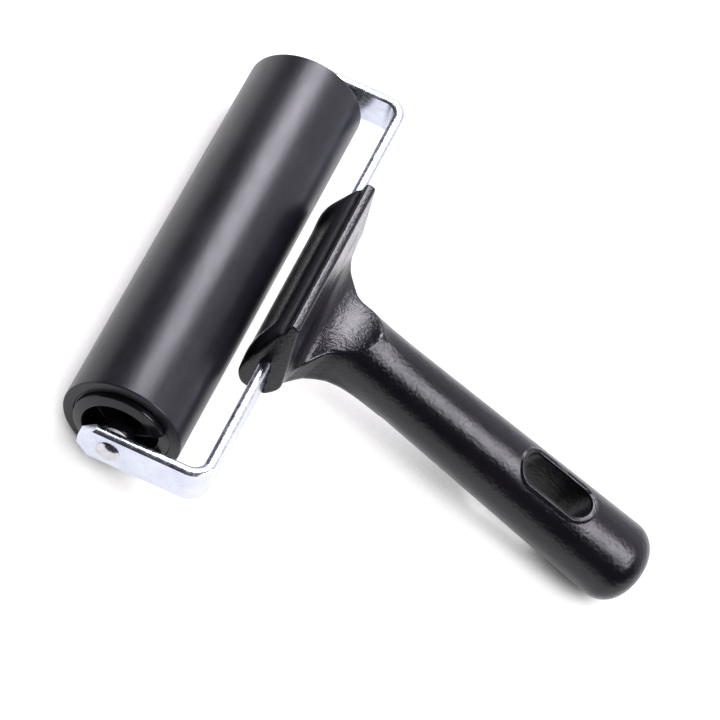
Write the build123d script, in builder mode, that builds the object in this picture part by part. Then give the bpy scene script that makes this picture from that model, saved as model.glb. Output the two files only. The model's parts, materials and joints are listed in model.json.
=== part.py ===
"""Rubber brayer for relief printing: a rubber roller that turns on a fixed steel axle, a bent
steel frame, and a moulded handle.

It stands as it does on a bench, on the roller and the end of the handle. X runs along the roller,
Y towards the handle and Z up. The origin is on the bench, at the middle of the tool's outline.
"""
import os
from math import asin, atan2, cos, degrees, hypot, radians, sin

from build123d import *

# ---------------------------------------------------------------- driving dimensions, mm
# roller
roller_length = 150.0
roller_diameter = 40.4
rubber_wall = 3.7
core_wall = 1.5

# bent flat bar
bar_width = 14.0
bar_thickness = 3.5
bar_edge_crown = 0.55        # how far the narrow faces bulge
bar_bend_radius = 4.0        # inside of the bend
arm_gap = 7.0                # from the roller's end to the arm
crossbar_reach = 33.0        # from the axle to the crossbar's outer face
arm_tail = 10.5              # from the axle to the arm's end
arm_corner_cut = 5.0

# axle
axle_diameter = 6.0
tenon_diameter = 5.0
rivet_diameter = 8.0
rivet_height = 2.0
running_clearance = 0.05

# end hubs
hub_recess = 0.4             # hub flange below the rubber's end
hub_flange_thickness = 4.4
hub_ring_diameter = 31.8     # raised ring round the well, open at one side
hub_ring_edge = 2.2          # height of the ring's outer edge
hub_ring_height = 3.3        # and of its inner edge
hub_ring_gap = (-6.0, 46.0)  # degrees, from the handle's side
hub_bore_diameter = 24.8
hub_well_depth = 7.0
hub_web = 3.0
hub_boss_diameter = 11.0
hub_skirt_length = 20.0
bush_wall = 1.0
bush_flange_diameter = 10.0
bush_flange_thickness = 1.0
washer_diameter = 10.0
washer_thickness = 0.8
end_float = 0.2              # between the bush flange and the washer

# handle head: a tall wall across the frame, with the crossbar moulded into its foot
head_half_length = 35.5
ridge_half_length = 32.3
head_foot = -8.6             # heights are from the middle of the bar
lip_front = 23.6             # reaches are from the axle
lip_top = 1.0
ridge_front = 35.4
ridge_back = 38.5
ridge_top = 27.0
ridge_fall = 0.8             # the ridge's flat top slopes down to the back
head_knee = 14.0             # height at which the back starts to lean in
head_scoop = (28.6, 12.5)    # reach and height at the middle of the hollow front
foot_round = 6.0             # cut from the foot's back corner
head_edge_round = 0.8
anchor_hole_diameter = 5.0
anchor_spacing = 40.0

# handle
handle_bend = 26.2           # droop of the handle below the frame, degrees
handle_start_reach = 38.0
handle_start_height = -6.1
handle_length = 140.5
neck_length = 30.0
neck_diameter = 24.4
belly_end = 14.0             # where the neck's rounded underside meets the shaft's
end_width = 30.8
end_height = 28.0
end_rise = 1.1               # middle of the end above the middle line
end_round = 10.0
slot_centre = 96.3           # from the back of the head
slot_length = 28.0
slot_width = 11.5
scoop_radius = 24.0          # thumb scoop across the neck, behind the wall
scoop_centre = (0.0, 31.5)   # along the handle and above its middle line

# ---------------------------------------------------------------- derived sizes
roller_radius = roller_diameter / 2
core_radius = roller_radius - rubber_wall
arm_inner = roller_length / 2 + arm_gap
arm_middle = arm_inner + bar_thickness / 2
crossbar_middle = crossbar_reach - bar_thickness / 2
bend = radians(handle_bend)


def handle_point(along, above):
    """Reach and height, from the axle, of a point along the handle and above its middle line."""
    reach = handle_start_reach + along * cos(bend) + above * sin(bend)
    height = handle_start_height - along * sin(bend) + above * cos(bend)
    return reach, height


# The tool rests on the roller and on the rounded lower edge of the handle's end, so its tilt is
# the slope of the line that touches both circles from below.
round_along = handle_length - end_round
round_above = end_height / 2 - end_round
low_reach, low_height = handle_point(round_along, end_rise - round_above)
between = hypot(low_reach, low_height)
tilt = -atan2(low_height, low_reach) - asin((roller_radius - end_round) / between)

high_reach, high_height = handle_point(round_along, end_rise + round_above)
back_edge = high_reach * cos(tilt) - high_height * sin(tilt) + end_round
axle_y = (roller_radius - back_edge) / 2


def leaning_plane(origin, angle):
    """A plane with X across the tool and Y climbing at the angle."""
    return Plane(origin=origin, x_dir=(1, 0, 0), z_dir=(0, -sin(angle), cos(angle)))


def side_of(plane):
    """The plane seen from its side: Y becomes the sketch's X, and Z its Y."""
    return Plane(origin=plane.origin, x_dir=plane.y_dir, z_dir=plane.x_dir)


def across(plane, along):
    """The cross-section plane at a distance along the plane's Y."""
    return Plane(origin=plane.origin + plane.y_dir * along, x_dir=-plane.x_dir, z_dir=plane.y_dir)


frame_plane = leaning_plane((0, axle_y, roller_radius), tilt)
frame_side = side_of(frame_plane)
frame_up = Axis(frame_plane.origin, frame_plane.z_dir)
frame_along = Axis(frame_plane.origin, frame_plane.y_dir)
handle_origin = frame_plane.from_local_coords((0, handle_start_reach, handle_start_height))
handle_plane = leaning_plane(handle_origin, tilt - bend)
handle_side = side_of(handle_plane)
roller_axis = Axis((0, axle_y, roller_radius), (1, 0, 0))
roller_face = Plane(origin=(0, axle_y, roller_radius), x_dir=(0, 1, 0), z_dir=(1, 0, 0))

sides = {"near": 1, "far": -1}


def section_plane(side):
    """The half section of a piece at one end, drawn with X pointing out of that end."""
    return Plane(origin=(0, axle_y, roller_radius), x_dir=(side, 0, 0), z_dir=(0, -side, 0))


os.makedirs("parts", exist_ok=True)


def save(part, name):
    """Label a finished piece and write it."""
    part.label = name
    export_step(part, f"parts/{name}.step")


# ---------------------------------------------------------------- bent steel frame
bar_half = bar_width / 2
bar_side = bar_thickness / 2
crown_start = bar_half - bar_edge_crown
bar_end = frame_plane.from_local_coords((arm_middle, -arm_tail, 0))
with BuildPart() as frame_bar:
    with BuildLine(frame_plane) as bar_path:
        FilletPolyline(
            (arm_middle, -arm_tail),
            (arm_middle, crossbar_middle),
            (-arm_middle, crossbar_middle),
            (-arm_middle, -arm_tail),
            radius=bar_bend_radius + bar_side,
        )
    # the section of rolled flat bar: flat sides and slightly bulging narrow faces
    with BuildSketch(Plane(origin=bar_end, x_dir=frame_plane.x_dir, z_dir=frame_plane.y_dir)):
        with BuildLine():
            ThreePointArc((-bar_side, crown_start), (0, bar_half), (bar_side, crown_start))
            Line((bar_side, crown_start), (bar_side, -crown_start))
            ThreePointArc((bar_side, -crown_start), (0, -bar_half), (-bar_side, -crown_start))
            Line((-bar_side, -crown_start), (-bar_side, crown_start))
        make_face()
    sweep(path=bar_path.line)
    # the corners of both arms' ends are cut off
    with BuildSketch(frame_side):
        for upward in (1, -1):
            with BuildLine():
                Polyline(
                    (-arm_tail - 1, upward * (bar_half - arm_corner_cut - 1)),
                    (-arm_tail + arm_corner_cut + 1, upward * (bar_half + 1)),
                    (-arm_tail - 1, upward * (bar_half + 1)),
                    close=True,
                )
            make_face()
    extrude(amount=arm_inner + bar_width, both=True, mode=Mode.SUBTRACT)
    with BuildSketch(roller_face):
        Circle(tenon_diameter / 2)
    extrude(amount=arm_middle + bar_thickness, both=True, mode=Mode.SUBTRACT)
    with BuildSketch(across(frame_plane, crossbar_middle)):
        with GridLocations(anchor_spacing, 1, 2, 1):
            Circle(anchor_hole_diameter / 2)
    extrude(amount=bar_thickness, both=True, mode=Mode.SUBTRACT)
save(frame_bar.part, "frame_bar")

# ---------------------------------------------------------------- axle, riveted into both arms
rivet_start = arm_inner + bar_thickness
dome_start = rivet_start + rivet_height / 5
dome_top = rivet_start + rivet_height
dome_height = dome_top - dome_start
dome_radius = (rivet_diameter ** 2 / 4 + dome_height ** 2) / (2 * dome_height)
with BuildPart() as axle:
    with BuildSketch(roller_face):
        Circle(axle_diameter / 2)
    extrude(amount=arm_inner, both=True)
    with BuildSketch(roller_face):
        Circle(tenon_diameter / 2)
    extrude(amount=rivet_start, both=True)
    for side in sides.values():
        with BuildSketch(section_plane(side)):
            with BuildLine():
                Polyline(
                    (dome_top, 0),
                    (rivet_start, 0),
                    (rivet_start, rivet_diameter / 2),
                    (dome_start, rivet_diameter / 2),
                )
                RadiusArc((dome_start, rivet_diameter / 2), (dome_top, 0), dome_radius)
            make_face()
        revolve(axis=roller_axis)
save(axle.part, "axle")

# ---------------------------------------------------------------- roller
with BuildPart() as rubber_sleeve:
    with BuildSketch(roller_face):
        Circle(roller_radius)
        Circle(core_radius, mode=Mode.SUBTRACT)
    extrude(amount=roller_length / 2, both=True)
save(rubber_sleeve.part, "rubber_sleeve")

hub_face = roller_length / 2 - hub_recess
flange_back = hub_face - hub_flange_thickness
with BuildPart() as core_tube:
    with BuildSketch(roller_face):
        Circle(core_radius)
        Circle(core_radius - core_wall, mode=Mode.SUBTRACT)
    extrude(amount=flange_back, both=True)
save(core_tube.part, "core_tube")

skirt_radius = core_radius - core_wall
bore_radius = hub_bore_diameter / 2
boss_radius = hub_boss_diameter / 2
bush_radius = axle_diameter / 2 + running_clearance + bush_wall
ring_radius = hub_ring_diameter / 2
well_floor = hub_face - hub_well_depth
washer_face = arm_inner - washer_thickness
flange_face = washer_face - end_float
boss_face = flange_face - bush_flange_thickness
gap_corners = []
for angle in (hub_ring_gap[0], sum(hub_ring_gap) / 2, hub_ring_gap[1]):
    gap_corners.append((roller_radius * cos(radians(angle)), roller_radius * sin(radians(angle))))
for name, side in sides.items():
    with BuildPart() as end_hub:
        with BuildSketch(section_plane(side)):
            with BuildLine():
                Polyline(
                    (hub_face - hub_skirt_length, skirt_radius),
                    (flange_back, skirt_radius),
                    (flange_back, core_radius),
                    (hub_face, core_radius),
                    (hub_face, ring_radius),
                    (hub_face + hub_ring_edge, ring_radius),
                    (hub_face + hub_ring_height, bore_radius),
                    (well_floor, bore_radius),
                    (well_floor, boss_radius),
                    (boss_face, boss_radius),
                    (boss_face, bush_radius),
                    (well_floor - hub_web, bush_radius),
                    (well_floor - hub_web, bore_radius),
                    (hub_face - hub_skirt_length, bore_radius),
                    close=True,
                )
            make_face()
        revolve(axis=roller_axis)
        with BuildSketch(roller_face.offset(side * hub_face)):
            with BuildLine():
                Polyline((0, 0), *gap_corners, close=True)
            make_face()
            Circle((bore_radius + boss_radius) / 2, mode=Mode.SUBTRACT)
        extrude(amount=side * hub_ring_height, mode=Mode.SUBTRACT)
    save(end_hub.part, f"end_hub_{name}")

    with BuildPart() as bush:
        with BuildSketch(section_plane(side)):
            with BuildLine():
                Polyline(
                    (well_floor - hub_web, bush_radius - bush_wall),
                    (flange_face, bush_radius - bush_wall),
                    (flange_face, bush_flange_diameter / 2),
                    (boss_face, bush_flange_diameter / 2),
                    (boss_face, bush_radius),
                    (well_floor - hub_web, bush_radius),
                    close=True,
                )
            make_face()
        revolve(axis=roller_axis)
    save(bush.part, f"bush_{name}")

    with BuildPart() as washer:
        with BuildSketch(roller_face.offset(side * washer_face)):
            Circle(washer_diameter / 2)
            Circle(axle_diameter / 2, mode=Mode.SUBTRACT)
        extrude(amount=side * washer_thickness)
    save(washer.part, f"washer_{name}")

# ---------------------------------------------------------------- moulded handle
# neck sections: distance along the handle, half width, half height, height of the middle
neck_sections = (
    (-2.0, 27.5, 11.8, -1.5),
    (6.0, 20.3, 11.0, -1.0),
    (14.0, 16.0, 11.7, -0.5),
)
with BuildPart() as head:
    # the wall: its outline seen from the side, between ends that lean in towards the ridge
    with BuildSketch(frame_side):
        with BuildLine():
            Polyline(
                (handle_start_reach, head_foot + foot_round),
                (handle_start_reach - foot_round, head_foot),
                (lip_front + 3, head_foot),
                (lip_front, head_foot + 4),
                (lip_front, lip_top),
            )
            ThreePointArc((lip_front, lip_top), head_scoop, (ridge_front, ridge_top))
            Polyline(
                (ridge_front, ridge_top),
                (ridge_back, ridge_top - ridge_fall),
                (ridge_back, head_knee),
                (handle_start_reach, head_foot + foot_round),
            )
        make_face()
    extrude(amount=head_half_length, both=True)
    with BuildSketch(across(frame_plane, 0)):
        with BuildLine():
            Polyline(
                (-head_half_length, head_foot),
                (head_half_length, head_foot),
                (ridge_half_length, ridge_top),
                (-ridge_half_length, ridge_top),
                close=True,
            )
        make_face()
    extrude(amount=2 * crossbar_reach, mode=Mode.INTERSECT)
    fillet(head.edges(), radius=head_edge_round)

foot_back = frame_plane.from_local_coords((0, handle_start_reach, head_foot))
foot_corner = handle_plane.to_local_coords(foot_back)
shaft_bottom = -neck_diameter / 2
belly_run = belly_end - foot_corner.Y
belly_drop = foot_corner.Z - shaft_bottom
belly_radius = (belly_run ** 2 + belly_drop ** 2) / (2 * belly_drop)
with BuildPart() as handle:
    # the neck flares from the round shaft to the wall
    for along, half_width, half_height, middle in neck_sections:
        with BuildSketch(across(handle_plane, along)):
            with Locations((0, middle)):
                Ellipse(half_width, half_height)
    with BuildSketch(across(handle_plane, neck_length)):
        Circle(neck_diameter / 2)
    loft()
    # its underside curves up to the wall's foot
    with BuildSketch(handle_side):
        with BuildLine():
            belly = RadiusArc((foot_corner.Y, foot_corner.Z), (belly_end, shaft_bottom), -belly_radius)
            Polyline(
                (belly_end, shaft_bottom),
                (belly_end, -scoop_radius),
                (-belly_end, -scoop_radius),
                (-belly_end, foot_corner.Z),
                (foot_corner.Y, foot_corner.Z),
            )
        make_face()
    extrude(amount=head_half_length, both=True, mode=Mode.SUBTRACT)
    # the thumb scoop crosses its top
    with BuildSketch(handle_side):
        with Locations(scoop_centre):
            Circle(scoop_radius)
    extrude(amount=head_half_length, both=True, mode=Mode.SUBTRACT)
    # the shaft swells towards its rounded end
    with BuildSketch(across(handle_plane, neck_length)):
        Circle(neck_diameter / 2)
    with BuildSketch(across(handle_plane, handle_length)):
        with Locations((0, end_rise)):
            Ellipse(end_width / 2, end_height / 2)
    loft()
    end_face = handle.faces().sort_by(Axis(handle_plane.origin, handle_plane.y_dir))[-1]
    fillet(end_face.edges(), radius=end_round)
    # the hanging slot goes straight through
    with BuildSketch(handle_plane):
        with Locations((0, slot_centre)):
            SlotOverall(slot_length, slot_width, rotation=90)
    extrude(amount=end_width, both=True, mode=Mode.SUBTRACT)
    add(head.part)
    # the plastic fills the anchor holes and is shaped round the bar
    add(frame_bar.part, mode=Mode.SUBTRACT)
save(handle.part, "handle")
print("tilt", round(degrees(tilt), 2), "axle", round(axle_y, 2))
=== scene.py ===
"""The looks of the rubber brayer: a satin rubber roller, a plated bar and a black moulded handle."""
import json
import math

import bmesh
import bpy
import numpy as np
from mathutils import Matrix, Vector


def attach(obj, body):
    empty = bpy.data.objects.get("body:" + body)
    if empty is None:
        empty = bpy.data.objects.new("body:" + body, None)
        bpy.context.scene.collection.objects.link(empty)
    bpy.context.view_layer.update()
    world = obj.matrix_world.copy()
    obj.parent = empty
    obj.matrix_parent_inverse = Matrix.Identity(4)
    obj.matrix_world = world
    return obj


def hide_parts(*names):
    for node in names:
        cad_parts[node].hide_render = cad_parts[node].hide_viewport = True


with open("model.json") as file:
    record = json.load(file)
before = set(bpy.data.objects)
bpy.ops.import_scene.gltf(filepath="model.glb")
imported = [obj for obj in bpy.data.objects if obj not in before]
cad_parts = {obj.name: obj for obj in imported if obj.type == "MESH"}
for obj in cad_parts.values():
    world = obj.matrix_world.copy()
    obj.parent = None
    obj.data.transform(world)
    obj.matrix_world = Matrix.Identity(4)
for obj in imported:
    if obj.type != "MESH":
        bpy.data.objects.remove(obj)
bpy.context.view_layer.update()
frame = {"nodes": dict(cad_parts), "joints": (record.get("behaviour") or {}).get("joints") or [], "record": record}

MM = 0.001

# ---------------------------------------------------------------- places, from the frame
record = frame["record"]
mounts = {m["name"]: m for m in record["mounts"]}
axle_centre = np.array(frame["joints"][0]["pos_m"])
slot_point = np.array(mounts["hanging_slot"]["pos_m"])
handle_up = np.array(mounts["hanging_slot"]["axis"])
across = np.array([1.0, 0.0, 0.0])
handle_along = np.cross(handle_up, across)
handle_bend = math.radians(26.2)  # between the shaft and the frame
frame_along = math.cos(handle_bend) * handle_along + math.sin(handle_bend) * handle_up
frame_up = math.cos(handle_bend) * handle_up - math.sin(handle_bend) * handle_along

# the handle's own millimetres: x across, s along the shaft from the head, h above its middle line;
# the frame's: x across, y from the axle towards the crossbar, z above the axle
SLOT_ALONG = 96.3
handle_origin = slot_point - handle_along * SLOT_ALONG * MM
HANDLE_REACH = 38.0
HANDLE_HEIGHT = -6.1


# ---------------------------------------------------------------- solid shapes as distance fields, mm
def round_meet(a, b, radius):
    """Both shapes at once, with the edge between them rounded."""
    u = np.maximum(a + radius, 0.0)
    v = np.maximum(b + radius, 0.0)
    return np.minimum(np.maximum(a, b), -radius) + np.hypot(u, v)


def smooth_join(a, b, radius):
    """Either shape, with a soft fillet where they meet."""
    t = np.maximum(radius - np.abs(a - b), 0.0) / radius
    return np.minimum(a, b) - t * t * t * radius / 6.0


def polygon_field(y, z, outline):
    """Signed distance to a closed outline."""
    best = np.full(y.shape, 1e9)
    inside = np.zeros(y.shape, bool)
    for (y0, z0), (y1, z1) in zip(outline, outline[1:] + outline[:1]):
        ey, ez = y1 - y0, z1 - z0
        t = np.clip(((y - y0) * ey + (z - z0) * ez) / (ey * ey + ez * ez), 0, 1)
        best = np.minimum(best, (y - y0 - t * ey) ** 2 + (z - z0 - t * ez) ** 2)
        crosses = (z0 > z) != (z1 > z)
        if z1 != z0:
            inside ^= crosses & (y < y0 + (z - z0) * ey / (z1 - z0))
    return np.where(inside, -1.0, 1.0) * np.sqrt(best)


def in_frame(s, h):
    """Reach and height in the frame's plane of a point in the handle's plane."""
    c, d = math.cos(handle_bend), math.sin(handle_bend)
    return HANDLE_REACH + s * c + h * d, HANDLE_HEIGHT - s * d + h * c


def smooth_outline(points, times=2):
    """A closed outline with its corners cut off again and again, which rounds them."""
    for _ in range(times):
        cut = []
        for (y0, z0), (y1, z1) in zip(points, points[1:] + points[:1]):
            cut.append((0.75 * y0 + 0.25 * y1, 0.75 * z0 + 0.25 * z1))
            cut.append((0.25 * y0 + 0.75 * y1, 0.25 * z0 + 0.75 * z1))
        points = cut
    return points


def round_join(a, b, radius):
    """Either shape, with a round fillet where they meet."""
    u = np.maximum(radius - a, 0.0)
    v = np.maximum(radius - b, 0.0)
    return np.maximum(np.minimum(a, b), radius) - np.hypot(u, v)


HANDLE_LENGTH = 140.4
NECK_RADIUS = 12.2
END_HALF_WIDTH = 15.3
END_HALF_HEIGHT = 13.9
END_RISE = 1.1
END_ROUND = 10.0
BELLY_RADIUS = 9.0
BELLY_START = 4.0
SWELL_START = 30.0


def shaft_field(x, s, h):
    """The round shaft, which swells a little towards its end and is rounded under the head."""
    grow = np.clip((s - SWELL_START) / (HANDLE_LENGTH - SWELL_START), 0, 1)
    h = h - END_RISE * grow
    half_width = NECK_RADIUS + (END_HALF_WIDTH - NECK_RADIUS) * grow
    half_height = NECK_RADIUS + (END_HALF_HEIGHT - NECK_RADIUS) * grow
    side = (np.hypot(x / half_width, h / half_height) - 1) * np.minimum(half_width, half_height)
    far_end = round_meet(side, s - HANDLE_LENGTH, END_ROUND)
    return round_meet(far_end, BELLY_START - s, BELLY_RADIUS)


HEAD_HALF_LENGTH = 35.5
RIDGE_HALF_LENGTH = 32.3
HEAD_FOOT = -8.6
HEAD_BACK = 38.4
RIDGE_TOP = 26.85
head_outline = smooth_outline([
    (38.5, 20.0), (38.5, 0.0), (38.0, -3.6), (35.3, -7.2), (31.8, HEAD_FOOT), (26.6, HEAD_FOOT),
    (24.4, -6.8), (23.3, -3.6), (23.2, 0.2), (23.8, 4.4), (25.3, 9.3), (27.4, 13.5), (29.8, 17.8),
    (32.0, 21.0), (33.4, 22.2), (34.0, 23.0), (34.9, 25.9), (35.4, 26.75), (36.2, RIDGE_TOP),
    (37.6, 26.45), (38.4, 25.95), (38.6, 25.2),
])
# how far the head's front is set back at its ends, in mm, at these heights
SET_BACK_HEIGHTS = [-3.0, 0.0, 4.9, 9.2, 12.0, 16.0, 18.0, 21.0, 25.0]
END_SET_BACK = [0.0, 0.7, 2.3, 3.2, 3.3, 2.6, 1.9, 0.8, 0.0]
END_ROUNDING = 4.5
END_EDGE = 0.8
HOLLOW_DEPTH = 1.6
HOLLOW_MIDDLE = 9.0
HOLLOW_SPREAD = 6.0
HOLLOW_MARGIN = 5.0
HOLLOW_FADE = 6.0
FRONT_FADE = 5.0


def head_field(x, s, h):
    """The wall across the frame. Its front is set back at the ends and slightly hollow between."""
    y, z = in_frame(s, h)
    lean = (HEAD_HALF_LENGTH - RIDGE_HALF_LENGTH) / (RIDGE_TOP - HEAD_FOOT)
    half = HEAD_HALF_LENGTH - lean * (z - HEAD_FOOT)
    t = np.clip((np.abs(x) - half + END_ROUNDING) / END_ROUNDING, 0, 1)
    set_back = np.interp(z, SET_BACK_HEIGHTS, END_SET_BACK) * (1 - np.sqrt(1 - t * t))
    middle = np.clip((half - HOLLOW_MARGIN - np.abs(x)) / HOLLOW_FADE, 0, 1)
    middle = middle * middle * (3 - 2 * middle)
    valley = HOLLOW_DEPTH * np.exp(-((z - HOLLOW_MIDDLE) / HOLLOW_SPREAD) ** 2) * middle
    moved = (set_back + valley) * np.clip((HEAD_BACK - 1.0 - y) / FRONT_FADE, 0, 1)
    wall = polygon_field(y - moved, z, head_outline)
    return round_meet(wall, np.abs(x) - half, END_EDGE)


# half the web's width, in mm, at these distances along the shaft
FLARE_REACH = [-6.0, -1.0, 0.0, 1.8, 4.6, 6.8, 10.4, 14.5, 20.0, 26.0, 40.0]
FLARE_WIDTH = [33.0, 30.0, 27.8, 24.8, 21.2, 18.6, 15.9, 13.2, 10.4, 8.0, 4.0]
FLARE_DRAFT = 0.75
FLARE_LEVEL = -3.0
FLARE_SLOPE = 1.6
FLARE_ROUND = 3.0
FLARE_TOP = 12.0
FLARE_BOTTOM = -6.8
FLARE_END = 34.0
FLARE_FRONT = 35.5


def neck_field(x, s, h):
    """The web that flares from the shaft to the wall."""
    half = np.interp(s, FLARE_REACH, FLARE_WIDTH) - FLARE_DRAFT * (h - FLARE_LEVEL)
    side = (np.abs(x) - half) / FLARE_SLOPE
    y, _ = in_frame(s, h)
    bottom = FLARE_BOTTOM - h
    ends = np.maximum(s - FLARE_END, FLARE_FRONT - y)
    return np.maximum(round_meet(side, bottom, FLARE_ROUND), np.maximum(ends, h - FLARE_TOP))


SCOOP_RADIUS = 24.0
SCOOP_CROSS_RADIUS = 55.0
SCOOP_CENTRE = (-0.8, 29.1)
SCOOP_FILLET = 3.5
SCOOP_WALL_GAP = 0.1


def scoop_field(x, s, h):
    """The thumb scoop: a hollow across the neck that falls away to both sides."""
    y, _ = in_frame(s, h)
    dished = h + x * x / (2 * SCOOP_CROSS_RADIUS)
    drum = np.hypot(s - SCOOP_CENTRE[0], dished - SCOOP_CENTRE[1]) - SCOOP_RADIUS
    above = np.maximum(s - SCOOP_CENTRE[0] - SCOOP_RADIUS, SCOOP_CENTRE[1] - dished)
    drum = np.minimum(drum, above)
    return round_meet(drum, HEAD_BACK + SCOOP_WALL_GAP - y, SCOOP_FILLET)


SLOT_LENGTH = 28.0
SLOT_WIDTH = 11.5
SLOT_HALF = (SLOT_LENGTH - SLOT_WIDTH) / 2
SLOT_RADIUS = SLOT_WIDTH / 2
SLOT_LIP = 0.9
BEAD_OUT = 1.5
BEAD_RADIUS = 0.55


def slot_field(x, s):
    """The hanging slot, which goes straight through."""
    along = np.maximum(np.abs(s - SLOT_ALONG) - SLOT_HALF, 0.0)
    return np.hypot(x, along) - SLOT_RADIUS


BAR_HALF_WIDTH = 7.0
BAR_HALF_THICKNESS = 1.75
BAR_MIDDLE = 31.25
BAR_CLEARANCE = 0.1
NECK_FILLET = 6.0
HEAD_FILLET = 4.0
SCOOP_EDGE = 0.6
BEAD_SUNK = 0.1
BEAD_FILLET = 0.5


def handle_field(x, s, h):
    """The whole moulding."""
    body = smooth_join(shaft_field(x, s, h), neck_field(x, s, h), NECK_FILLET)
    joined = round_join(head_field(x, s, h), body, HEAD_FILLET)
    scooped = round_meet(joined, -scoop_field(x, s, h), SCOOP_EDGE)
    slot = slot_field(x, s)
    bead = np.hypot(slot - BEAD_OUT, scooped + BEAD_SUNK) - BEAD_RADIUS
    beaded = smooth_join(scooped, bead, BEAD_FILLET)
    cut = round_meet(beaded, -slot, SLOT_LIP)
    y, z = in_frame(s, h)
    wide = np.abs(z) - BAR_HALF_WIDTH - BAR_CLEARANCE
    thick = np.abs(y - BAR_MIDDLE) - BAR_HALF_THICKNESS - BAR_CLEARANCE
    return np.maximum(cut, -np.maximum(wide, thick))


# ---------------------------------------------------------------- meshes
FIELD_STEPS = 6
SLAB = 16


def add_object(name, data):
    """A new object in the scene."""
    thing = bpy.data.objects.new(name, data)
    bpy.context.scene.collection.objects.link(thing)
    return thing


def surface_mesh(name, field, low, high, pitch):
    """A quad mesh on the zero surface of a field, with its points moved onto the surface."""
    axes = [np.arange(a, b + pitch, pitch) for a, b in zip(low, high)]
    nx, ny, nz = (len(a) for a in axes)
    values = np.empty((nx, ny, nz), np.float32)
    for i in range(0, nx, SLAB):
        x, y, z = np.meshgrid(axes[0][i:i + SLAB], axes[1], axes[2], indexing="ij")
        values[i:i + SLAB] = field(x, y, z)
    inside = values < 0
    corners = sum(
        inside[i:nx - 1 + i, j:ny - 1 + j, k:nz - 1 + k].astype(np.int8)
        for i in (0, 1) for j in (0, 1) for k in (0, 1)
    )
    mixed = (corners > 0) & (corners < 8)
    cells = np.argwhere(mixed)
    index = np.full(mixed.shape, -1, np.int64)
    index[tuple(cells.T)] = np.arange(len(cells))
    points = np.array([axes[a][cells[:, a]] + pitch / 2 for a in range(3)]).T
    for _ in range(FIELD_STEPS):
        value, slope = field_and_slope(field, points)
        step = (value / np.maximum((slope ** 2).sum(1), 0.05))[:, None] * slope
        points = points - np.clip(step, -pitch, pitch) * 0.9
    quads = []
    for axis in range(3):
        here = [slice(0, n) for n in inside.shape]
        there = list(here)
        here[axis] = slice(0, inside.shape[axis] - 1)
        there[axis] = slice(1, inside.shape[axis])
        change = inside[tuple(here)] != inside[tuple(there)]
        for edge in np.argwhere(change):
            quads.append((axis, *edge))
    quads = np.array(quads)
    b_axis = (quads[:, 0] + 1) % 3
    c_axis = (quads[:, 0] + 2) % 3
    unit = np.eye(3, dtype=np.int64)
    base = quads[:, 1:]
    ring = [base, base - unit[b_axis], base - unit[b_axis] - unit[c_axis], base - unit[c_axis]]
    faces = np.stack([index[tuple(r.T)] for r in ring], 1)
    starts_inside = inside[tuple(base.T)]
    faces[~starts_inside] = faces[~starts_inside][:, ::-1]
    mesh = bpy.data.meshes.new(name)
    mesh.from_pydata(points.tolist(), [], faces.tolist())
    _, slope = field_and_slope(field, points)
    return mesh, slope / np.linalg.norm(slope, axis=1)[:, None]


def field_and_slope(field, points):
    """Field and its slope at points."""
    tiny = 0.02
    x, y, z = points.T
    value = field(x, y, z)
    slope = np.stack([
        field(x + tiny, y, z) - field(x - tiny, y, z),
        field(x, y + tiny, z) - field(x, y - tiny, z),
        field(x, y, z + tiny) - field(x, y, z - tiny),
    ], 1) / (2 * tiny)
    return value, slope


def place_mesh(mesh, normals, origin, axes):
    """Turn a mesh from its own millimetres into the shared frame's metres, with smooth normals."""
    turn = np.array(axes).T
    points = np.array([v.co for v in mesh.vertices])
    placed = points * MM @ turn.T + origin
    mesh.vertices.foreach_set("co", placed.astype(np.float32).ravel())
    mesh.polygons.foreach_set("use_smooth", [True] * len(mesh.polygons))
    mesh.normals_split_custom_set_from_vertices((normals @ turn.T).tolist())
    mesh.update()
    return add_object(mesh.name, mesh)


CURVE_STEPS = 6


def rounded(corners):
    """A closed outline of (out, radius, rounding) corners, each rounded with a short curve."""
    outline = []
    for i, (x, r, size) in enumerate(corners):
        here = np.array([x, r])
        back = np.array(corners[i - 1][:2]) - here
        on = np.array(corners[(i + 1) % len(corners)][:2]) - here
        if size == 0:
            outline.append(tuple(here))
            continue
        for step in range(CURVE_STEPS + 1):
            t = step / CURVE_STEPS
            start = here + back / np.linalg.norm(back) * size
            end = here + on / np.linalg.norm(on) * size
            outline.append(tuple((1 - t) ** 2 * start + 2 * t * (1 - t) * here + t * t * end))
    return outline


def closed_mesh(name, points, faces, sharp):
    """A shell with its faces turned outwards, smooth but for the edges over the sharp angle."""
    mesh = bpy.data.meshes.new(name)
    mesh.from_pydata(points, [], faces)
    work = bmesh.new()
    work.from_mesh(mesh)
    bmesh.ops.recalc_face_normals(work, faces=work.faces)
    work.to_mesh(mesh)
    work.free()
    mesh.polygons.foreach_set("use_smooth", [True] * len(mesh.polygons))
    mesh.set_sharp_from_angle(angle=math.radians(sharp))
    return add_object(name, mesh)


LATHE_SHARP = 35


def lathe(name, outline, side, gap=None, segments=192):
    """A closed ring turned about the axle. The gap is (start, end, outline), used between its angles."""
    points = []
    for i in range(segments):
        angle = 2 * math.pi * i / segments
        turn = (angle + math.pi) % (2 * math.pi) - math.pi
        use = gap[2] if gap and gap[0] <= turn <= gap[1] else outline
        for x, r in use:
            points.append((side * x * MM, r * math.cos(angle) * MM, r * math.sin(angle) * MM))
    count = len(outline)
    faces = []
    for i in range(segments):
        for j in range(count):
            a, b = i * count + j, i * count + (j + 1) % count
            c, d = (i + 1) % segments * count + (j + 1) % count, (i + 1) % segments * count + j
            faces.append((a, b, c, d))
    return closed_mesh(name, [tuple(np.array(p) + axle_centre) for p in points], faces, LATHE_SHARP)


# ---------------------------------------------------------------- materials
# how far the painted shadow in the floor's glow reaches out from the tool, in metres
FLOOR_PAINTED_SHADOW_REACH = 0.022


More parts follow.
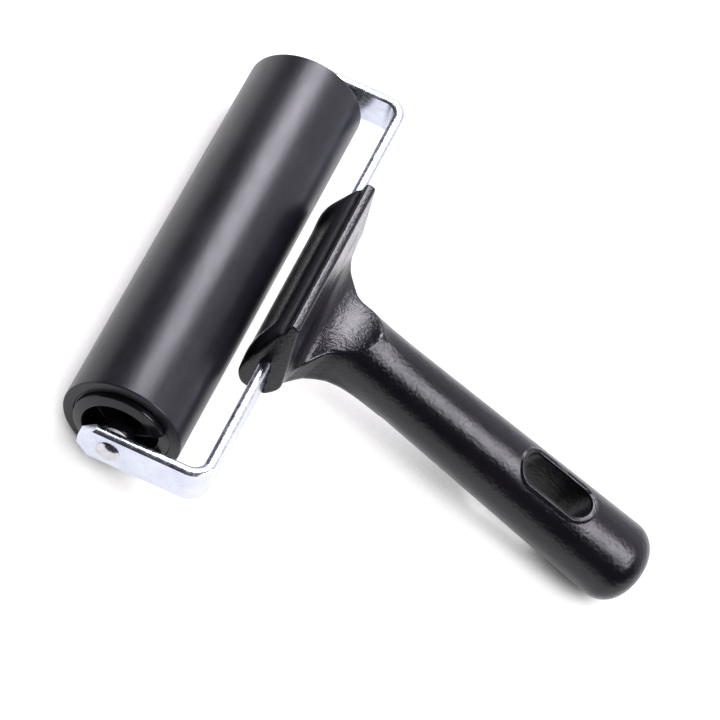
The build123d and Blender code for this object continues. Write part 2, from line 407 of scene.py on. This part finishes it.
class Nodes:
    """A short way to write a node material."""

    def __init__(self, name):
        self.material = bpy.data.materials.new(name)
        self.material.use_nodes = True
        self.tree = self.material.node_tree
        self.shader = self.tree.nodes["Principled BSDF"]
        self.place = self.add("ShaderNodeTexCoord").outputs["Object"]

    def add(self, kind, **settings):
        node = self.tree.nodes.new(kind)
        for key, value in settings.items():
            setattr(node, key, value)
        return node

    def link(self, source, target):
        self.tree.links.new(source, target)

    def noise(self, scale, detail=2.0, rough=0.5, stretch=None):
        node = self.add("ShaderNodeTexNoise")
        node.inputs["Scale"].default_value = scale
        node.inputs["Detail"].default_value = detail
        node.inputs["Roughness"].default_value = rough
        source = self.place
        if stretch:
            mapping = self.add("ShaderNodeMapping")
            mapping.inputs["Scale"].default_value = stretch
            self.link(source, mapping.inputs["Vector"])
            source = mapping.outputs["Vector"]
        self.link(source, node.inputs["Vector"])
        return node.outputs["Fac"]

    def ramp(self, source, low, high, start=0.3, end=0.7):
        node = self.add("ShaderNodeMapRange")
        node.inputs["From Min"].default_value = start
        node.inputs["From Max"].default_value = end
        node.inputs["To Min"].default_value = low
        node.inputs["To Max"].default_value = high
        self.link(source, node.inputs["Value"])
        return node.outputs["Result"]

    def tint(self, source, low, high, start=0.3, end=0.7):
        node = self.add("ShaderNodeMix", data_type="RGBA")
        node.inputs["A"].default_value = (*low, 1)
        node.inputs["B"].default_value = (*high, 1)
        self.link(self.ramp(source, 0.0, 1.0, start, end), node.inputs["Factor"])
        self.link(node.outputs["Result"], self.shader.inputs["Base Color"])

    def rough(self, source, low, high, start=0.3, end=0.7):
        self.link(self.ramp(source, low, high, start, end), self.shader.inputs["Roughness"])

    def bump(self, source, height, strength=1.0, before=None):
        node = self.add("ShaderNodeBump")
        node.inputs["Distance"].default_value = height
        node.inputs["Strength"].default_value = strength
        self.link(source, node.inputs["Height"])
        if before is not None:
            self.link(before, node.inputs["Normal"])
        self.link(node.outputs["Normal"], self.shader.inputs["Normal"])
        return node.outputs["Normal"]

    def set(self, **values):
        for key, value in values.items():
            self.shader.inputs[key.replace("_", " ")].default_value = value


def rubber_material():
    n = Nodes("roller_rubber")
    n.set(IOR=1.42)
    n.tint(n.noise(60, 4, 0.6), (0.006, 0.006, 0.009), (0.011, 0.010, 0.014))
    n.rough(n.noise(260, 4, 0.65, (0.35, 1, 1)), 0.28, 0.38)
    first = n.bump(n.noise(3800, 2, 0.6), 0.00004, 0.6)
    n.bump(n.noise(700, 4, 0.7, (0.2, 1, 1)), 0.00003, 0.5, first)
    return n.material


def handle_material():
    n = Nodes("handle_plastic")
    n.set(IOR=1.42)
    n.tint(n.noise(40, 2), (0.004, 0.004, 0.006), (0.008, 0.007, 0.010))
    n.rough(n.noise(150, 3, 0.6), 0.14, 0.24)
    first = n.bump(n.noise(800, 3, 0.7), 0.00018, 1.0)
    n.bump(n.noise(260, 2, 0.5), 0.00022, 0.5, first)
    return n.material


def hub_material():
    n = Nodes("hub_plastic")
    n.set(IOR=1.42)
    n.tint(n.noise(90, 2), (0.004, 0.004, 0.006), (0.009, 0.009, 0.011))
    n.rough(n.noise(300, 3, 0.6), 0.12, 0.22)
    n.bump(n.noise(1800, 2), 0.00003, 0.4)
    return n.material


def plating_material():
    n = Nodes("frame_plating")
    n.set(Metallic=1.0)
    n.tint(n.noise(70, 5, 0.7), (0.56, 0.60, 0.70), (0.74, 0.77, 0.86))
    n.rough(n.noise(500, 4, 0.7), 0.16, 0.34)
    first = n.bump(n.noise(1500, 3, 0.6), 0.00001, 0.4)
    n.bump(n.noise(160, 3), 0.00008, 0.3, first)
    return n.material


def steel_material():
    n = Nodes("axle_steel")
    n.set(Metallic=1.0)
    n.tint(n.noise(300, 4, 0.7), (0.46, 0.46, 0.47), (0.70, 0.70, 0.71))
    n.rough(n.noise(1200, 3), 0.10, 0.26)
    n.bump(n.noise(700, 3, 0.6), 0.00008, 0.4)
    return n.material


def aluminium_material():
    n = Nodes("core_aluminium")
    n.set(Metallic=1.0)
    n.tint(n.noise(100, 3), (0.70, 0.71, 0.72), (0.80, 0.81, 0.82))
    n.rough(n.noise(600, 3, 0.6, (0.1, 1, 1)), 0.3, 0.42)
    n.bump(n.noise(1200, 2, 0.6, (0.1, 1, 1)), 0.00002, 0.4)
    return n.material


def bush_material():
    n = Nodes("bush_plastic")
    n.set(IOR=1.48)
    n.tint(n.noise(150, 2), (0.74, 0.73, 0.69), (0.82, 0.81, 0.77))
    n.rough(n.noise(500, 2), 0.3, 0.42)
    n.bump(n.noise(2000, 2), 0.00002, 0.3)
    return n.material


def floor_material():
    """Pale, kept evenly bright by a glow of its own, with a painted shadow: the glow is dimmed close under the
    tool.
    """
    n = Nodes("pale_floor")
    n.set(Specular_IOR_Level=0.2, Emission_Color=(1.0, 0.985, 0.985, 1))
    n.tint(n.noise(3, 2), (0.19, 0.19, 0.195), (0.21, 0.21, 0.215))
    n.rough(n.noise(12, 2), 0.75, 0.85)
    # painted shadow: ambient occlusion dims the floor's own glow where the tool is close above it
    painted_shadow_occlusion = n.add("ShaderNodeAmbientOcclusion", samples=8)
    painted_shadow_occlusion.inputs["Distance"].default_value = FLOOR_PAINTED_SHADOW_REACH
    n.link(n.ramp(painted_shadow_occlusion.outputs["AO"], 0.05, 0.98, 0.25, 0.60), n.shader.inputs["Emission Strength"])
    return n.material


materials = {
    "roller_rubber": rubber_material(),
    "handle_plastic": handle_material(),
    "hub_plastic": hub_material(),
    "frame_plating": plating_material(),
    "axle_steel": steel_material(),
    "core_aluminium": aluminium_material(),
    "bush_plastic": bush_material(),
}
for row in record["subparts"]:
    node = frame["nodes"][row["node"]]
    node.data.materials.clear()
    node.data.materials.append(materials[row["material_slot"]])


# ---------------------------------------------------------------- bent bar
ARM_MIDDLE = 83.75
ARM_TAIL = -10.5
BEND_RADIUS = 5.75
CORNER_CUT = 5.0
CROWN = 0.55
CROWN_POINTS = 11
BEND_STEPS = 16
BAR_SHARP = 30


def bar_section():
    """The upper half of the bar's section, its bulging narrow face, as (outward, up) points."""
    radius = (BAR_HALF_THICKNESS ** 2 + CROWN ** 2) / (2 * CROWN)
    reach = math.asin(BAR_HALF_THICKNESS / radius)
    angles = np.linspace(-reach, reach, CROWN_POINTS)
    return [(radius * math.sin(a), BAR_HALF_WIDTH - radius + radius * math.cos(a)) for a in angles]


def bar_path():
    """Stations along the bar: x, reach, outward direction and distance from the arm's end."""
    side = []
    for away in (0.0, CORNER_CUT - CROWN, CORNER_CUT, 2 * CORNER_CUT, 3 * CORNER_CUT):
        side.append((ARM_MIDDLE, ARM_TAIL + away, 0.0, away))
    for step in range(BEND_STEPS + 1):
        turn = math.pi / 2 * step / BEND_STEPS
        x = ARM_MIDDLE - BEND_RADIUS + BEND_RADIUS * math.cos(turn)
        y = BAR_MIDDLE - BEND_RADIUS + BEND_RADIUS * math.sin(turn)
        side.append((x, y, turn, BAR_MIDDLE))
    return side + [(-x, y, math.pi - turn, away) for x, y, turn, away in reversed(side)]


def bar_mesh():
    """The flat bar swept along its path, with the corners of both ends cut off."""
    top = bar_section()
    ring = top + [(n, -z) for n, z in reversed(top)]
    points = []
    for x, y, turn, away in bar_path():
        limit = BAR_HALF_WIDTH - max(CORNER_CUT - away, 0.0)
        for n, z in ring:
            z = min(max(z, -limit), limit)
            out = (x + n * math.cos(turn)) * across + (y + n * math.sin(turn)) * frame_along
            points.append(tuple((out + z * frame_up) * MM + axle_centre))
    count, stations = len(ring), len(points) // len(ring)
    faces = [tuple(range(count)), tuple(range(count * (stations - 1), count * stations))]
    for i in range(stations - 1):
        for j in range(count):
            a, b = i * count + j, i * count + (j + 1) % count
            faces.append((a, b, b + count, a + count))
    return closed_mesh("bent_bar", points, faces, BAR_SHARP)


bar = bar_mesh()
bar.data.materials.append(materials["frame_plating"])
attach(bar, "frame")
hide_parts("frame_bar")


# ---------------------------------------------------------------- roller
ROLLER_END = 75.0
ROLLER_RADIUS = 20.18
CORE_RADIUS = 16.5
sleeve = lathe("rubber_cover", rounded([
    (-ROLLER_END, CORE_RADIUS, 0.2), (ROLLER_END, CORE_RADIUS, 0.2),
    (ROLLER_END, ROLLER_RADIUS, 0.6), (-ROLLER_END, ROLLER_RADIUS, 0.6),
]), 1, segments=256)
sleeve.data.materials.append(materials["roller_rubber"])
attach(sleeve, "roller")
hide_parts("rubber_sleeve")

HUB_FACE = 74.6
HUB_RADIUS = 16.48
FLANGE_BACK = 70.2
SKIRT_START = 54.6
SKIRT_RADIUS = 15.0
SKIRT_BORE = 12.4
RING_FOOT_RADIUS = 15.92
RING_OUTSIDE = 15.85
RING_INSIDE = 12.45
RING_EDGE = 2.2
RING_HEIGHT = 3.3
RING_REMNANT = 0.03
RING_GAP = (math.radians(-6), math.radians(46))
WELL_RADIUS = 12.3
WELL_FLOOR = 67.6
WEB_BACK = 64.6
BOSS_RADIUS = 5.5
BOSS_BORE = 4.05
BOSS_END = 80.0


def hub_outline(edge, height):
    """Half section of an end hub: skirt, flange, ring with the given edge and height, well, boss."""
    return rounded([
        (SKIRT_START, SKIRT_RADIUS, 0), (FLANGE_BACK, SKIRT_RADIUS, 0),
        (FLANGE_BACK, HUB_RADIUS, 0.1), (HUB_FACE, HUB_RADIUS, 0.2),
        (HUB_FACE, RING_FOOT_RADIUS, 0.1), (HUB_FACE + edge, RING_OUTSIDE, 0.4 * edge / RING_EDGE + 0.02),
        (HUB_FACE + height, RING_INSIDE, 0.3), (WELL_FLOOR, WELL_RADIUS, 0.5),
        (WELL_FLOOR, BOSS_RADIUS, 0.4), (BOSS_END, BOSS_RADIUS, 0.5),
        (BOSS_END, BOSS_BORE, 0.1), (WEB_BACK, BOSS_BORE, 0),
        (WEB_BACK, SKIRT_BORE, 0), (SKIRT_START, SKIRT_BORE, 0),
    ])


for side, end in ((1, "near"), (-1, "far")):
    without_ring = hub_outline(RING_REMNANT, 0.0)
    hub = lathe(f"hub_{end}", hub_outline(RING_EDGE, RING_HEIGHT), side, (*RING_GAP, without_ring))
    hub.data.materials.append(materials["hub_plastic"])
    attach(hub, "roller")
    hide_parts(f"end_hub_{end}")


# ---------------------------------------------------------------- handle
GRID = 0.55
HANDLE_LOW = (-37, -26, -15)
HANDLE_HIGH = (37, 146.5, 34)
mesh, normals = surface_mesh("handle_moulding", handle_field, HANDLE_LOW, HANDLE_HIGH, GRID)
handle = place_mesh(mesh, normals, handle_origin, (across, handle_along, handle_up))
mesh.materials.append(materials["handle_plastic"])
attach(handle, "frame")
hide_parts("handle")


# ---------------------------------------------------------------- floor, light and camera
def softbox(name, towards, distance, size, radiance, colour):
    """A soft rectangular light that faces the tool from the direction given."""
    data = bpy.data.lights.new(name, "AREA")
    data.shape = "RECTANGLE"
    data.size, data.size_y = size
    data.energy = radiance * math.pi * size[0] * size[1]
    data.color = colour
    lamp = add_object(name, data)
    direction = Vector(towards).normalized()
    lamp.location = direction * distance
    lamp.rotation_euler = direction.to_track_quat("Z", "Y").to_euler()


COOL = (0.93, 0.90, 1.0)
softbox("box_over_handle", (0.06, 0.41, 0.91), 1.2, (0.66, 0.50), 13.5, COOL)
softbox("box_over_roller", (-0.59, -0.25, 0.76), 1.2, (0.58, 0.72), 15.5, COOL)

FLOOR = 3.0
floor_mesh = bpy.data.meshes.new("floor")
corners = [(-FLOOR, -FLOOR, 0), (FLOOR, -FLOOR, 0), (FLOOR, FLOOR, 0), (-FLOOR, FLOOR, 0)]
floor_mesh.from_pydata(corners, [], [(0, 1, 2, 3)])
floor = add_object("floor", floor_mesh)
floor_mesh.materials.append(floor_material())

PALE_SIDE = (-0.91, 0.41, 0.0)
PALE_FROM, PALE_TO = 0.20, 0.80
DIM, PALE = 0.05, 1.0


def studio_world():
    """A dim room with one pale side, beyond the far end of the tool."""
    world = bpy.data.worlds.new("studio")
    world.use_nodes = True
    nodes, links = world.node_tree.nodes, world.node_tree.links
    direction = nodes.new("ShaderNodeTexCoord").outputs["Generated"]
    facing = nodes.new("ShaderNodeVectorMath")
    facing.operation = "DOT_PRODUCT"
    facing.inputs[1].default_value = PALE_SIDE
    links.new(direction, facing.inputs[0])
    glow = nodes.new("ShaderNodeMapRange")
    glow.interpolation_type = "SMOOTHSTEP"
    glow.inputs["From Min"].default_value = PALE_FROM
    glow.inputs["From Max"].default_value = PALE_TO
    glow.inputs["To Min"].default_value = DIM
    glow.inputs["To Max"].default_value = PALE
    links.new(facing.outputs["Value"], glow.inputs["Value"])
    background = nodes["Background"]
    background.inputs["Color"].default_value = (0.94, 0.92, 1.0, 1)
    links.new(glow.outputs["Result"], background.inputs["Strength"])
    bpy.context.scene.world = world


studio_world()
bpy.context.scene.view_settings.view_transform = "Standard"

CAMERA_TARGET = Vector((0.0031, -0.0219, 0.0252))
CAMERA_DISTANCE = 1.380
CAMERA_AZIMUTH = math.radians(-18.93)
CAMERA_ELEVATION = math.radians(52.01)
CAMERA_ROLL = math.radians(-51.09)
CAMERA_LENS = 212.8


def photo_camera():
    """A long lens from above the near end, rolled as the picture is."""
    data = bpy.data.cameras.new("camera")
    data.lens = CAMERA_LENS
    data.sensor_width = 36.0
    data.clip_end = 20.0
    camera = add_object("camera", data)
    outward = Vector((
        math.cos(CAMERA_ELEVATION) * math.cos(CAMERA_AZIMUTH),
        math.cos(CAMERA_ELEVATION) * math.sin(CAMERA_AZIMUTH),
        math.sin(CAMERA_ELEVATION),
    ))
    view = -outward
    level_up = (Vector((0, 0, 1)) - view * view.z).normalized()
    level_right = view.cross(level_up)
    up = level_up * math.cos(CAMERA_ROLL) + level_right * math.sin(CAMERA_ROLL)
    right = view.cross(up)
    turn = Matrix((right, up, outward)).transposed().to_4x4()
    camera.matrix_world = Matrix.Translation(CAMERA_TARGET + outward * CAMERA_DISTANCE) @ turn
    bpy.context.scene.camera = camera


photo_camera()
